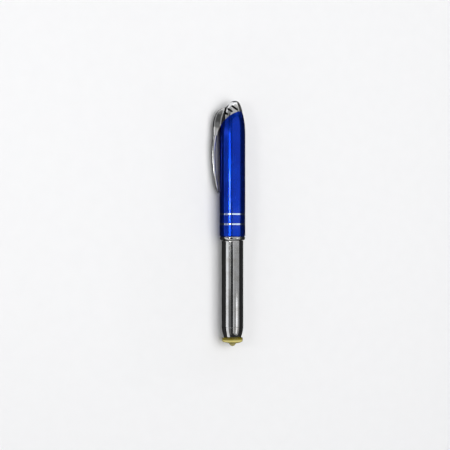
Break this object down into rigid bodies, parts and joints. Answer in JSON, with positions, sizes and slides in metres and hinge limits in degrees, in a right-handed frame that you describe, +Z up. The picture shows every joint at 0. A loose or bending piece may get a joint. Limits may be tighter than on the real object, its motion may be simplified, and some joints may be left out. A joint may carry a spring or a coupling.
{
  "type": "mini ballpoint pen",
  "caption": "Short capped ballpoint pen: lacquered cap with a slotted crown, clip and trim rings, a bright plain barrel, and a lamp with a twist switch in the barrel's far end.",
  "frame": {"origin": "on the surface the pen lies on, below the middle of its length and of its width over the clip", "axes": "+Y along the pen towards the crown, +Z up, the clip on the -X side with its edge on the surface"},
  "size_m": [0.0144, 0.1078, 0.0113],
  "materials": {
    "blue_lacquer": "gloss",
    "chrome_plate": "polished",
    "silver_trim": "satin",
    "lens_acrylic": "gloss",
    "lamp_epoxy": "gloss",
    "black_plastic": "satin",
    "white_plastic": "satin",
    "brass": "satin",
    "steel": "satin",
    "rubber": "matte"
  },
  "bodies": {
    "barrel": {"barrel_tube": "chrome_plate", "coupling_bush": "brass", "grip_section": "black_plastic", "cap_o_ring": "rubber", "nose_cone": "chrome_plate", "refill_tube": "white_plastic", "refill_tip": "brass", "battery_sleeve": "white_plastic", "front_cell": "steel", "middle_cell": "steel", "rear_cell": "steel", "battery_spring": "steel", "partition": "black_plastic"},
    "cap": {"mouth_ring": "chrome_plate", "cap_tube": "blue_lacquer", "cap_liner": "white_plastic", "lower_trim_ring": "silver_trim", "upper_trim_ring": "silver_trim", "crown": "chrome_plate", "crown_plug": "black_plastic", "crown_screw": "steel"},
    "clip": {"clip": "chrome_plate"},
    "head": {"torch_head": "chrome_plate", "lens": "lens_acrylic"},
    "lamp_unit": {"lamp": "lamp_epoxy", "lamp_holder": "black_plastic", "contact_stud": "brass"},
    "ball": {"writing_ball": "steel"}
  },
  "joints": [
    {"name": "cap_pull", "type": "slide", "parent": "barrel", "child": "cap", "axis": [0, 1, 0], "range_m": [0, 0.046]},
    {"name": "clip_flex", "type": "hinge", "parent": "cap", "child": "clip", "pos_m": [-0.00519, 0.0401, 0.00215], "axis": [0.4611, 0, -0.8873], "range_deg": [0, 5], "stiffness_Nm_per_rad": 0.4},
    {"name": "head_twist", "type": "hinge", "parent": "barrel", "child": "head", "pos_m": [0.00154, -0.0479, 0.00565], "axis": [0, 1, 0], "range_deg": [0, 90]},
    {"name": "lamp_push", "type": "slide", "parent": "barrel", "child": "lamp_unit", "axis": [0, 1, 0], "range_m": [0, 0.0004]},
    {"name": "ball_roll", "type": "hinge", "parent": "barrel", "child": "ball", "pos_m": [0.00154, 0.0316, 0.00565], "axis": [1, 0, 0], "continuous": true}
  ],
  "couplings": [
    {"joint": "head_twist", "follows": "lamp_push", "rad_per_m": 3926.9}
  ]
}
